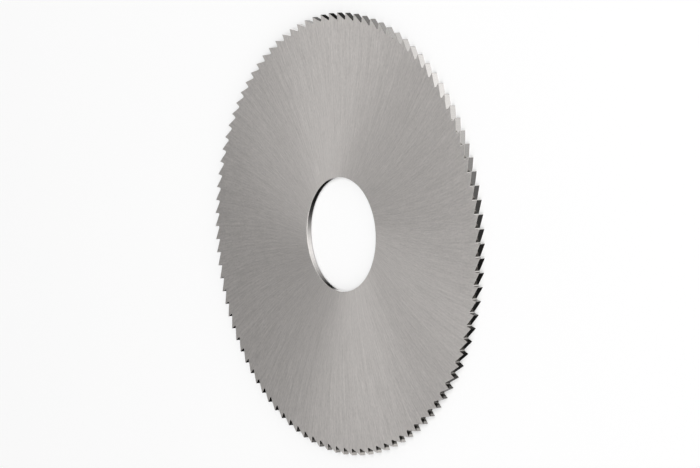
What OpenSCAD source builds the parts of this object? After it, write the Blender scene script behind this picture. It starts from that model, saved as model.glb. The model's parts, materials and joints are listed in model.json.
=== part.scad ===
// Slitting saw: a thin hardened steel disc, ground slightly hollow on both sides, with
// fine saw teeth round its rim and a plain round bore for the arbor.
// It lies flat: +Z is the axis, the underside of the teeth is at z = 0, the bore axis
// passes through the origin, and the tip of one tooth points along +X.
// Seen from above, the teeth point counter-clockwise.

/* [Blade] */
// Diameter over the tips of the teeth
blade_d = 50; // [36:1:80]
// Thickness at the teeth, which is the width of the slot that the saw cuts
rim_t = 0.7; // [0.4:0.05:1.6]
// Depth of the hollow grinding, measured at the hub on each side
side_hollow = 0.05; // [0.02:0.01:0.1]

/* [Arbor seat] */
// Diameter of the arbor bore
bore_d = 13; // [8:0.5:20]
// Edge break at both ends of the bore
bore_break = 0.05; // [0.02:0.01:0.1]
// Diameter of the flat zone round the bore that the arbor collars clamp
hub_d = 25; // [18:1:32]

/* [Teeth] */
// Number of teeth
tooth_count = 100; // [64:4:128]
// Forward lean of a cutting face from the radius through its tip, in degrees
rake_angle = 4; // [0:1:10]
// Angle in a gullet between the cutting face and the back of the tooth ahead, in degrees
gullet_angle = 59; // [50:1:70]
// Radius at the bottom of a gullet
gullet_r = 0.13; // [0.06:0.01:0.2]
// Length of the narrow land behind each tip, along the rim
tip_land = 0.04; // [0.02:0.01:0.12]

/* [Hidden] */

// Radii, and the levels of the two hub faces
tip_r = blade_d / 2;
bore_r = bore_d / 2;
hub_r = hub_d / 2;
hub_low = side_hollow;
hub_high = rim_t - side_hollow;

// Angles round the rim: from tip to tip, of the land, and of the open gullet between
tooth_pitch = 360 / tooth_count;
land_span = tip_land / tip_r * 180 / PI;
gullet_span = tooth_pitch - land_span;

// The triangle of a sharp gullet: its mouth on the rim and its two sides
mouth_w = 2 * tip_r * sin(gullet_span / 2);
face_end_angle = 90 - gullet_span / 2 + rake_angle;
back_end_angle = 180 - gullet_angle - face_end_angle;
face_len = mouth_w * sin(back_end_angle) / sin(gullet_angle);
back_len = mouth_w * sin(face_end_angle) / sin(gullet_angle);

// How far the gullet cutter runs past the rim and past both sides of the blade
overcut = 0.2;

// Sides on each drawn circle: a whole number of sides to every tooth
$fn = 4 * tooth_count;

function direction(angle) = [cos(angle), sin(angle)];

// Outline of the gullet ahead of the tooth on +X: two straight sides and a round bottom
module gullet_outline() {
    back_angle = rake_angle + gullet_angle;
    sharp_root = [tip_r, 0] - face_len * direction(rake_angle);
    tangent_len = gullet_r / tan(gullet_angle / 2);
    root_centre = sharp_root + gullet_r / sin(gullet_angle / 2) * direction(rake_angle + gullet_angle / 2);
    polygon([
        sharp_root + tangent_len * direction(rake_angle),
        sharp_root + (face_len + overcut) * direction(rake_angle),
        sharp_root + (back_len + overcut) * direction(back_angle),
        sharp_root + tangent_len * direction(back_angle),
        root_centre
    ]);
    translate(root_centre) circle(r = gullet_r);
}

// Disc before its teeth are cut: full thickness at the rim, hollow sides that fall
// to the flat hub, and a bore with broken edges
module ground_disc() {
    rotate_extrude() polygon([
        [bore_r, hub_low + bore_break],
        [bore_r + bore_break, hub_low],
        [hub_r, hub_low],
        [tip_r, 0],
        [tip_r, rim_t],
        [hub_r, hub_high],
        [bore_r + bore_break, hub_high],
        [bore_r, hub_high - bore_break]
    ]);
}

module saw_blade() {
    color([0.65, 0.64, 0.62]) difference() {
        ground_disc();
        translate([0, 0, -overcut]) linear_extrude(rim_t + 2 * overcut) {
            for (i = [0 : tooth_count - 1]) {
                rotate(i * tooth_pitch) gullet_outline();
            }
        }
    }
}

saw_blade();
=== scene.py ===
"""Looks of the slitting saw: one steel blade with ground sides, bright teeth and a bright bore."""

import json
import math

import bpy
import numpy as np
from mathutils import Matrix, Vector


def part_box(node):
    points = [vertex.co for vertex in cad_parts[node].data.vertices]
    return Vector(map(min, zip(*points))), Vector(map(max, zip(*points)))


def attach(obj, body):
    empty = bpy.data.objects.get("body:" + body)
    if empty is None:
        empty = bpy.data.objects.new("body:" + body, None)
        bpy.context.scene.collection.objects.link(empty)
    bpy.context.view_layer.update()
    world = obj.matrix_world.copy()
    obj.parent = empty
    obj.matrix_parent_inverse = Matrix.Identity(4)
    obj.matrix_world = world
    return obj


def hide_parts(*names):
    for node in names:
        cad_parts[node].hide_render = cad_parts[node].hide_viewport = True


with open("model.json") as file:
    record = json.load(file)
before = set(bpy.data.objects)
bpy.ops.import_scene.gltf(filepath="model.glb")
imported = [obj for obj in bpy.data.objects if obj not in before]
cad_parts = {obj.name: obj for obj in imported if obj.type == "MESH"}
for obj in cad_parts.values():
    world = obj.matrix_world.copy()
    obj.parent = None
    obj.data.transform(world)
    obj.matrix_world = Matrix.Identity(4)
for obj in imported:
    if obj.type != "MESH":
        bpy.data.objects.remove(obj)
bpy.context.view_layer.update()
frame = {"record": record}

MM = 0.001

# Sizes that the frame holds
saw_low, saw_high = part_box("saw_blade")
mounts = {mount["name"]: mount for mount in frame["record"]["mounts"]}
TIP_RADIUS = saw_high.x
RIM_THICKNESS = saw_high.z - saw_low.z
BORE_RADIUS = mounts["arbor_bore"]["dims"]["r_mm"] * MM
BORE_LENGTH = mounts["arbor_bore"]["dims"]["length_mm"] * MM
HUB_TOP = mounts["collar_face_top"]["pos_m"][2]
HUB_UNDER = mounts["collar_face_under"]["pos_m"][2]
BORE_BREAK = (HUB_TOP - HUB_UNDER - BORE_LENGTH) / 2

# Sizes of the hub and the teeth, the same as the solid's
HUB_RADIUS = 12.5 * MM
TOOTH_COUNT = 100
RAKE_ANGLE = math.radians(4)
GULLET_ANGLE = math.radians(59)
GULLET_RADIUS = 0.13 * MM
TIP_LAND = 0.04 * MM
TOOTH_PITCH = math.tau / TOOTH_COUNT
LAND_SPAN = TIP_LAND / TIP_RADIUS

# Width of the edge that deburring leaves between a side and the teeth
TOOTH_EDGE_BREAK = 0.01 * MM

# The blade's grid: points along each stretch of a tooth, and rings across a side
CUTTING_FACE_POINTS = 3
GULLET_POINTS = 11
TOOTH_BACK_POINTS = 8
HUB_RINGS = 3
HOLLOW_RINGS = 4
WEB_UNDER_GULLETS = 0.3 * MM
GRID_LEAN = math.radians(25)
SHARPEST_SMOOTH_EDGE = math.radians(20)

# Finishes, in the order of the blade's materials. Sharpening has reached the outer cells of a cutting face.
# Its inner cells and the first cells of the gullet's round bottom are dull,
# and their steel is painted dark: painted shade deep in the gullet
GROUND_SIDE, BRIGHT_EDGE, SHARPENED_FACE, DULL_SHADED_FACE = range(4)
SHARPENED_CELLS = 2
SHADED_ROOT_CELLS = 4

# Path of the cup wheel that ground the sides: its radius, and how far it passes from the blade's axis
WHEEL_RADIUS = 62.5 * MM
WHEEL_MISS = 2.1 * MM

# Camera: where its axis meets the blade's upper side, and how it stands to that point
CAMERA_AIM = Vector((-0.1, -1.83, 0.7)) * MM
CAMERA_DISTANCE = 357.3 * MM
CAMERA_AZIMUTH = math.radians(-2.795)
CAMERA_ELEVATION = math.radians(36.53)
CAMERA_ROLL = math.radians(-93.55)
CAMERA_LENS = 163.42
SENSOR_WIDTH = 36


def spin(angle):
    """Unit vector at an angle from +X, as a complex number: x is its real part and y its imaginary part."""
    return np.exp(1j * np.asarray(angle))


def corner_direction(first, second):
    """Direction that moves a corner by 1 on both its sides: their sum over one plus their dot product."""
    return (first + second) / (1 + (first * np.conj(second)).real)


def rim_outline():
    """Points round the rim and the direction out of the steel at each, as complex numbers.

    A tooth runs over its narrow land to the tip, straight down the cutting face, round the gullet's
    circular bottom and straight up the back of the next tooth. The sine rule in the triangle of tip, sharp
    root and next land gives the two straight lengths, and the bottom is the circle that touches both sides.
    """
    back_angle = RAKE_ANGLE + GULLET_ANGLE
    gullet_span = TOOTH_PITCH - LAND_SPAN
    mouth = 2 * TIP_RADIUS * math.sin(gullet_span / 2)
    face_end_angle = math.pi / 2 - gullet_span / 2 + RAKE_ANGLE
    face_length = mouth * math.sin(math.pi - GULLET_ANGLE - face_end_angle) / math.sin(GULLET_ANGLE)
    back_length = mouth * math.sin(face_end_angle) / math.sin(GULLET_ANGLE)
    tangent_length = GULLET_RADIUS / math.tan(GULLET_ANGLE / 2)
    sharp_root = TIP_RADIUS - face_length * spin(RAKE_ANGLE)
    root_reach = GULLET_RADIUS / math.sin(GULLET_ANGLE / 2)
    root_centre = sharp_root + root_reach * spin(RAKE_ANGLE + GULLET_ANGLE / 2)

    out_of_face = spin(RAKE_ANGLE + math.pi / 2)
    out_of_back = spin(back_angle - math.pi / 2)
    out_of_root = spin(np.linspace(RAKE_ANGLE + math.pi / 2, back_angle - math.pi / 2, GULLET_POINTS))
    down_face = np.linspace(face_length, tangent_length, CUTTING_FACE_POINTS + 2)[1:-1]
    up_back = np.linspace(tangent_length, back_length, TOOTH_BACK_POINTS + 2)[1:-1]

    points = np.concatenate([
        TIP_RADIUS * spin([-LAND_SPAN, 0]),
        sharp_root + down_face * spin(RAKE_ANGLE),
        root_centre - GULLET_RADIUS * out_of_root,
        sharp_root + up_back * spin(back_angle),
    ])
    outward = np.concatenate([
        [corner_direction(out_of_back * spin(-TOOTH_PITCH), spin(-LAND_SPAN))],
        [corner_direction(spin(0), out_of_face)],
        np.full(CUTTING_FACE_POINTS, out_of_face),
        out_of_root,
        np.full(TOOTH_BACK_POINTS, out_of_back),
    ])
    turns = spin(TOOTH_PITCH * np.arange(TOOTH_COUNT))[:, None]
    return (turns * points).ravel(), (turns * outward).ravel()


def side_level(radius):
    """Height of the upper side: level over the hub, then a straight rise to full height at the tips."""
    rise = np.clip((radius - HUB_RADIUS) / (TIP_RADIUS - HUB_RADIUS), 0, 1)
    return HUB_TOP + (RIM_THICKNESS - HUB_TOP) * rise


def blade_grid():
    """Closed grid of the whole blade, and the finish of each cell.

    The upper half starts at the top of the bore wall, goes over the bore's edge break and the hub, up the
    hollow side on rings to a circle under the gullets, and on to the rim outline drawn in by the tooth edge
    break, then to the outline itself. Rim points are carried to the circle along lines that lean back from
    the radius, so that no line leaves its tooth. The lower half is its mirror image, in reverse order.
    """
    outline, outward = rim_outline()
    web_radius = abs(outline).min() - WEB_UNDER_GULLETS
    carried = np.angle(outline) - math.tan(GRID_LEAN) * (abs(outline) - web_radius) / web_radius
    over_hub = np.linspace(BORE_RADIUS + BORE_BREAK, HUB_RADIUS, HUB_RINGS)
    up_hollow = np.linspace(HUB_RADIUS, web_radius, HOLLOW_RINGS)[1:]
    radii = np.concatenate([[BORE_RADIUS], over_hub, up_hollow])

    plan = np.vstack([radii[:, None] * spin(carried), outline - TOOTH_EDGE_BREAK * outward, outline])
    level = side_level(abs(plan))
    level[0] -= BORE_BREAK
    level[-1] -= TOOTH_EDGE_BREAK
    plan = np.vstack([plan, plan[::-1]])
    level = np.vstack([level, RIM_THICKNESS - level[::-1]])

    half = [GROUND_SIDE] * (len(radii) + 1)
    strips = np.array(half + [BRIGHT_EDGE] + half + [BRIGHT_EDGE])
    finish = np.repeat(strips[:, None], len(outline), axis=1)
    place_on_tooth = np.arange(len(outline)) % (len(outline) // TOOTH_COUNT)
    # Cells from the inner cutting face into the gullet's bottom take the dark steel: painted shade at the
    # gullet root
    shaded_end = CUTTING_FACE_POINTS + 1 + SHADED_ROOT_CELLS
    finish[len(half), (place_on_tooth >= 1) & (place_on_tooth <= shaded_end)] = DULL_SHADED_FACE
    finish[len(half), (place_on_tooth >= 1) & (place_on_tooth <= SHARPENED_CELLS)] = SHARPENED_FACE
    return np.stack([plan.real, plan.imag, level], axis=-1), finish


def make_blade(finishes):
    """The blade as one mesh: a face for each cell of the grid, whose last row and column join the first."""
    grid, finish = blade_grid()
    index = np.arange(grid.shape[0] * grid.shape[1]).reshape(grid.shape[:2])
    next_row = np.roll(index, -1, axis=0)
    cells = np.stack([index, next_row, np.roll(next_row, -1, axis=1), np.roll(index, -1, axis=1)], axis=-1)
    mesh = bpy.data.meshes.new("ground_saw_blade")
    mesh.from_pydata(grid.reshape(-1, 3), [], cells.reshape(-1, 4))
    for material in finishes:
        mesh.materials.append(material)
    mesh.polygons.foreach_set("material_index", finish.ravel().astype(np.int32))
    mesh.shade_smooth()
    mesh.set_sharp_from_angle(angle=SHARPEST_SMOOTH_EDGE)
    blade = bpy.data.objects.new("ground_saw_blade", mesh)
    bpy.context.scene.collection.objects.link(blade)
    return blade


def linear(hex_colour):
    """An sRGB hex colour as linear red, green, blue and alpha, by the sRGB curve."""
    channels = np.array([int(hex_colour[i : i + 2], 16) for i in (0, 2, 4)]) / 255
    curved = ((channels + 0.055) / 1.055) ** 2.4
    return (*np.where(channels <= 0.04045, channels / 12.92, curved), 1.0)


def add(tree, kind, inputs=None, **settings):
    """Adds a node with its own settings, and fills its inputs, which are given by name or place."""
    node = tree.nodes.new(kind)
    for name, value in settings.items():
        setattr(node, name, value)
    fill(tree, node, inputs or {})
    return node


def fill(tree, node, inputs):
    """Fills a node's inputs: a value is set, a socket is linked, and a node links its first output."""
    for place, value in inputs.items():
        if isinstance(value, bpy.types.Node):
            value = value.outputs[0]
        if isinstance(value, bpy.types.NodeSocket):
            tree.links.new(value, node.inputs[place])
        else:
            node.inputs[place].default_value = value


def limits(middle, change):
    """What a pattern of 0 to 1 is spread over: a middle value less and plus a change."""
    return {"To Min": middle - change, "To Max": middle + change}


def start_material(name):
    """A new material: itself, its node tree and its Principled shader."""
    material = bpy.data.materials.new(name)
    material.use_nodes = True
    return material, material.node_tree, material.node_tree.nodes["Principled BSDF"]


# Ground sides: layers of streaks by width and length at the ring, and by how far they lean from the wheel's
# path. They are drawn wider than real grinding scratches so that they show
STEEL = linear("CCC8C5")
STREAK_RING = 15 * MM
STREAKS = (
    (0.15 * MM, 12 * MM, 0),
    (0.11 * MM, 1.8 * MM, math.radians(6)),
    (0.11 * MM, 1.8 * MM, math.radians(-6)),
    (0.14 * MM, 0.4 * MM, 0),
    (0.10 * MM, 0.25 * MM, 0),
)
# What a streak changes: the tone, the height, the wheel's miss and the roughness
STREAK_TONE = 0.4
STREAK_DEPTH = 0.002 * MM
MISS_CHANGE = 2 * MM
SIDE_ROUGHNESS = 0.4
SIDE_ROUGHNESS_CHANGE = 0.06
SIDE_ANISOTROPY = 0.825


def surface_ground_steel():
    """High-speed steel, ground with a cup wheel: satin grey, with a bright fan across its fine lines.

    The wheel's rim crosses the blade on an arc that misses the axis, so at a radius the line leans from the
    radius by the arc sine of radius over wheel diameter less miss over radius, and the line's own angle is
    the polar angle less the sum of those two ratios.
    """
    material, tree, shader = start_material("surface_ground_high_speed_steel")
    place = add(tree, "ShaderNodeTexCoord").outputs["Object"]
    flat = add(tree, "ShaderNodeVectorMath", {0: place, 1: (1, 1, 0)}, operation="MULTIPLY")
    radius = add(tree, "ShaderNodeVectorMath", {0: flat}, operation="LENGTH").outputs["Value"]
    axes = add(tree, "ShaderNodeSeparateXYZ", {0: flat})
    polar = add(tree, "ShaderNodeMath", {0: axes.outputs["Y"], 1: axes.outputs["X"]}, operation="ARCTAN2")
    lead = add(tree, "ShaderNodeMath", {0: radius, 1: 2 * WHEEL_RADIUS}, operation="DIVIDE")
    miss = add(tree, "ShaderNodeMath", {0: WHEEL_MISS, 1: radius}, operation="DIVIDE")

    drift = add(tree, "ShaderNodeMath", {0: lead, 1: miss}, operation="ADD")
    line = add(tree, "ShaderNodeMath", {0: polar, 1: drift}, operation="SUBTRACT")
    stretch = add(tree, "ShaderNodeMath", {0: radius, 1: math.e}, operation="LOGARITHM")
    layers = []
    for width, length, leaning in STREAKS:
        slip = add(
            tree, "ShaderNodeMath", {0: stretch, 1: math.tan(leaning), 2: line}, operation="MULTIPLY_ADD"
        )
        line_x = add(tree, "ShaderNodeMath", {0: slip}, operation="COSINE")
        line_y = add(tree, "ShaderNodeMath", {0: slip}, operation="SINE")
        on_ring = add(tree, "ShaderNodeCombineXYZ", {0: line_x, 1: line_y, 2: radius})
        scale = (STREAK_RING / width, STREAK_RING / width, 1 / length)
        in_streaks = add(tree, "ShaderNodeVectorMath", {0: on_ring, 1: scale}, operation="MULTIPLY")
        layers.append(add(tree, "ShaderNodeTexNoise", {"Vector": in_streaks, "Scale": 1, "Detail": 0}))
    streak = layers[0]
    for layer in layers[1:]:
        streak = add(tree, "ShaderNodeMath", {0: streak, 1: layer}, operation="ADD")
    streak = add(tree, "ShaderNodeMath", {0: streak, 1: len(layers)}, operation="DIVIDE")

    streak_miss = add(tree, "ShaderNodeMapRange", {"Value": streak, **limits(WHEEL_MISS, MISS_CHANGE)})
    streak_miss = add(tree, "ShaderNodeMath", {0: streak_miss, 1: radius}, operation="DIVIDE")
    lean_sine = add(tree, "ShaderNodeMath", {0: lead, 1: streak_miss}, operation="SUBTRACT")
    lean = add(tree, "ShaderNodeMath", {0: lean_sine}, operation="ARCSINE")
    along = add(tree, "ShaderNodeMath", {0: polar, 1: lean}, operation="ADD")
    across = add(tree, "ShaderNodeMath", {0: along, 1: math.pi / 2}, operation="ADD")
    across_x = add(tree, "ShaderNodeMath", {0: across}, operation="COSINE")
    across_y = add(tree, "ShaderNodeMath", {0: across}, operation="SINE")
    tangent = add(tree, "ShaderNodeCombineXYZ", {0: across_x, 1: across_y})

    tone = add(tree, "ShaderNodeMapRange", {"Value": streak, **limits(1, STREAK_TONE)})
    colour = add(tree, "ShaderNodeVectorMath", {0: STEEL[:3], "Scale": tone}, operation="SCALE")
    rough_limits = limits(SIDE_ROUGHNESS, SIDE_ROUGHNESS_CHANGE)
    roughness = add(tree, "ShaderNodeMapRange", {"Value": streak, **rough_limits})
    bump = add(tree, "ShaderNodeBump", {"Distance": STREAK_DEPTH, "Height": streak})
    fill(
        tree,
        shader,
        {
            "Base Color": colour,
            "Metallic": 1,
            "Roughness": roughness,
            "Anisotropic": SIDE_ANISOTROPY,
            "Normal": bump,
            "Tangent": tangent,
        },
    )
    return material


# Teeth and bore: finer grinding lines across the thickness, also drawn coarser than real so that they show
BRIGHT_STEEL = linear("DCD9D6")
SHARPENED_STEEL = linear("B0ADA9")
# Steel of the gullet roots: a dull finish whose dark colour is painted shade in the gullet
DULL_STEEL_PAINTED_SHADE = linear("5A5855")
EDGE_LINE_WIDTH = 0.05 * MM
EDGE_LINE_LENGTH = 0.6 * MM
EDGE_LINE_DETAIL = 2
EDGE_LINE_TONE = 0.1
EDGE_LINE_DEPTH = 0.0003 * MM
EDGE_ROUGHNESS = 0.12
DULL_ROUGHNESS = 0.22
EDGE_ROUGHNESS_CHANGE = 0.03


def fine_ground_steel(name, steel, mean_roughness):
    """High-speed steel, ground fine across its thickness: near a mirror where bright, satin where dull."""
    material, tree, shader = start_material(name)
    place = add(tree, "ShaderNodeTexCoord").outputs["Object"]
    line_scale = (1 / EDGE_LINE_WIDTH, 1 / EDGE_LINE_WIDTH, 1 / EDGE_LINE_LENGTH)
    line_place = add(tree, "ShaderNodeVectorMath", {0: place, 1: line_scale}, operation="MULTIPLY")
    line = add(tree, "ShaderNodeTexNoise", {"Vector": line_place, "Scale": 1, "Detail": EDGE_LINE_DETAIL})
    tone = add(tree, "ShaderNodeMapRange", {"Value": line, **limits(1, EDGE_LINE_TONE)})
    colour = add(tree, "ShaderNodeVectorMath", {0: steel[:3], "Scale": tone}, operation="SCALE")
    rough_limits = limits(mean_roughness, EDGE_ROUGHNESS_CHANGE)
    roughness = add(tree, "ShaderNodeMapRange", {"Value": line, **rough_limits})
    bump = add(tree, "ShaderNodeBump", {"Distance": EDGE_LINE_DEPTH, "Height": line})
    fill(tree, shader, {"Base Color": colour, "Metallic": 1, "Roughness": roughness, "Normal": bump})
    return material


def studio_direction(from_camera, elevation):
    """Unit vector into the studio, by azimuth from the camera's and elevation, both in degrees."""
    azimuth = CAMERA_AZIMUTH - math.pi / 2 + math.radians(from_camera)
    height = math.radians(elevation)
    level_part = math.cos(height)
    return Vector((level_part * math.cos(azimuth), level_part * math.sin(azimuth), math.sin(height)))


# Studio light: an even part and its slope towards the camera, to the side and up
EVEN_LIGHT = 0.83
LIGHT_SLOPE = (0.375, -0.19, -0.38)
# Softboxes, each by azimuth from the camera, elevation, distance, width, height and radiance
OVERHEAD_BOX = (12.8, 69.8, 714 * MM, 925 * MM, 282 * MM, 3.57)
FAR_BOX = (172.5, 44.5, 603 * MM, 250 * MM, 100 * MM, 1.86)
# What the teeth and the bore mirror below the level of the blade: a dark room with a window at the front, a
# dim wall beside it and a white backdrop behind. Each is given by the azimuths from the camera, in degrees,
# where it starts, is full, begins to fade and ends, and by its strength
WINDOW = (-54, 25, 25, 123, 1.14)
DIM_WALL = (-80, -48, -48, -20, 0.045)
BACKDROP = (130, 158, 175, 224, 1.0)
# Azimuths are counted round to the end of the backdrop
LAST_AZIMUTH = math.radians(BACKDROP[3])
# The unlit part of the room, and the height in which it turns into the light from above
DARK_LEVEL = 0.012
HORIZON_BLEND = 0.05


def glow(tree, azimuth, start, full, fading, end, strength):
    """Light that rises between two azimuths and fades between two more: the product of two smooth steps."""
    start, full, fading, end = (math.radians(angle) for angle in (start, full, fading, end))
    upward = {"Value": azimuth, "From Min": start, "From Max": full, "To Max": strength}
    rise = add(tree, "ShaderNodeMapRange", upward, interpolation_type="SMOOTHSTEP")
    downward = {"Value": azimuth, "From Min": fading, "From Max": end, "To Min": 1, "To Max": 0}
    fade = add(tree, "ShaderNodeMapRange", downward, interpolation_type="SMOOTHSTEP")
    return add(tree, "ShaderNodeMath", {0: rise, 1: fade}, operation="MULTIPLY")


def make_studio():
    """World: soft light from above, and below the level of the blade what its teeth and bore mirror."""
    world = bpy.data.worlds.new("studio")
    bpy.context.scene.world = world
    world.use_nodes = True
    tree = world.node_tree
    toward = add(tree, "ShaderNodeTexCoord").outputs["Generated"]
    height = add(tree, "ShaderNodeSeparateXYZ", {0: toward}).outputs["Z"]

    to_camera = studio_direction(0, 0)
    to_side = studio_direction(90, 0)
    up = Vector((0, 0, 1))
    slope = LIGHT_SLOPE[0] * to_camera + LIGHT_SLOPE[1] * to_side + LIGHT_SLOPE[2] * up
    sloped, ahead, aside = (
        add(tree, "ShaderNodeVectorMath", {0: toward, 1: along}, operation="DOT_PRODUCT").outputs["Value"]
        for along in (slope, to_camera, to_side)
    )
    above = add(tree, "ShaderNodeMath", {0: sloped, 1: EVEN_LIGHT}, operation="ADD")

    azimuth = add(tree, "ShaderNodeMath", {0: aside, 1: ahead}, operation="ARCTAN2")
    one_turn = {0: azimuth, 1: LAST_AZIMUTH, 2: LAST_AZIMUTH - math.tau}
    azimuth = add(tree, "ShaderNodeMath", one_turn, operation="WRAP")
    below = DARK_LEVEL
    for light in (WINDOW, DIM_WALL, BACKDROP):
        below = add(tree, "ShaderNodeMath", {0: glow(tree, azimuth, *light), 1: below}, operation="ADD")

    side = add(tree, "ShaderNodeMapRange", {"Value": height, "From Min": -HORIZON_BLEND, "From Max": 0})
    studio = add(tree, "ShaderNodeMix", {0: side, 2: below, 3: above})
    fill(tree, tree.nodes["Background"], {"Color": linear("FFFFFF"), "Strength": studio})


def make_softbox(name, from_camera, elevation, distance, width, height, radiance):
    """An area lamp that faces the origin: its power is pi times its area times its radiance."""
    data = bpy.data.lights.new(name, "AREA")
    data.shape = "RECTANGLE"
    data.size = width
    data.size_y = height
    data.energy = math.pi * width * height * radiance
    lamp = bpy.data.objects.new(name, data)
    bpy.context.scene.collection.objects.link(lamp)
    direction = studio_direction(from_camera, elevation)
    lamp.location = distance * direction
    lamp.rotation_euler = direction.to_track_quat("Z", "Y").to_euler()
    lamp.visible_camera = False


# Floor: how far it reaches from the axis, and its paper
FLOOR_REACH = 2000 * MM
FLOOR_WHITE = linear("FAFAFA")
PAPER_ROUGHNESS = 0.9


def make_floor():
    """A level sheet of matt white paper under the teeth: four corners.

    The blade does not mirror it. Paper so close below would turn the edges of all the teeth white and hide
    the dark room that they are to mirror.
    """
    material, tree, shader = start_material("matt_white_paper")
    fill(tree, shader, {"Base Color": FLOOR_WHITE, "Roughness": PAPER_ROUGHNESS, "Specular IOR Level": 0})
    corners = FLOOR_REACH * np.array([[-1, -1, 0], [1, -1, 0], [1, 1, 0], [-1, 1, 0]]) + [0, 0, saw_low.z]
    mesh = bpy.data.meshes.new("floor")
    mesh.from_pydata(corners, [], [[0, 1, 2, 3]])
    mesh.materials.append(material)
    floor = bpy.data.objects.new("floor", mesh)
    floor.visible_glossy = False
    bpy.context.scene.collection.objects.link(floor)


def make_camera():
    """Camera at its distance from the aim point, turned by azimuth and elevation, then rolled."""
    data = bpy.data.cameras.new("camera")
    data.sensor_width = SENSOR_WIDTH
    data.lens = CAMERA_LENS
    camera = bpy.data.objects.new("camera", data)
    bpy.context.scene.collection.objects.link(camera)
    tilt = Matrix.Rotation(math.pi / 2 - CAMERA_ELEVATION, 4, "X")
    turn = Matrix.Rotation(CAMERA_AZIMUTH, 4, "Z") @ tilt @ Matrix.Rotation(CAMERA_ROLL, 4, "Z")
    back = turn @ Vector((0, 0, CAMERA_DISTANCE))
    camera.matrix_world = Matrix.Translation(CAMERA_AIM + back) @ turn
    bpy.context.scene.camera = camera


make_studio()
make_softbox("overhead_softbox", *OVERHEAD_BOX)
make_softbox("far_softbox", *FAR_BOX)
make_floor()
make_camera()
edge_steel = fine_ground_steel("fine_ground_high_speed_steel", BRIGHT_STEEL, EDGE_ROUGHNESS)
face_steel = fine_ground_steel("sharpened_high_speed_steel", SHARPENED_STEEL, EDGE_ROUGHNESS)
# The gullet roots: dull steel, painted dark as painted shade
gullet_steel_painted_shade = fine_ground_steel("form_ground_steel_painted_shade", DULL_STEEL_PAINTED_SHADE, DULL_ROUGHNESS)
blade = make_blade((surface_ground_steel(), edge_steel, face_steel, gullet_steel_painted_shade))
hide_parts("saw_blade")
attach(blade, "root")
bpy.context.scene.view_settings.view_transform = "Standard"
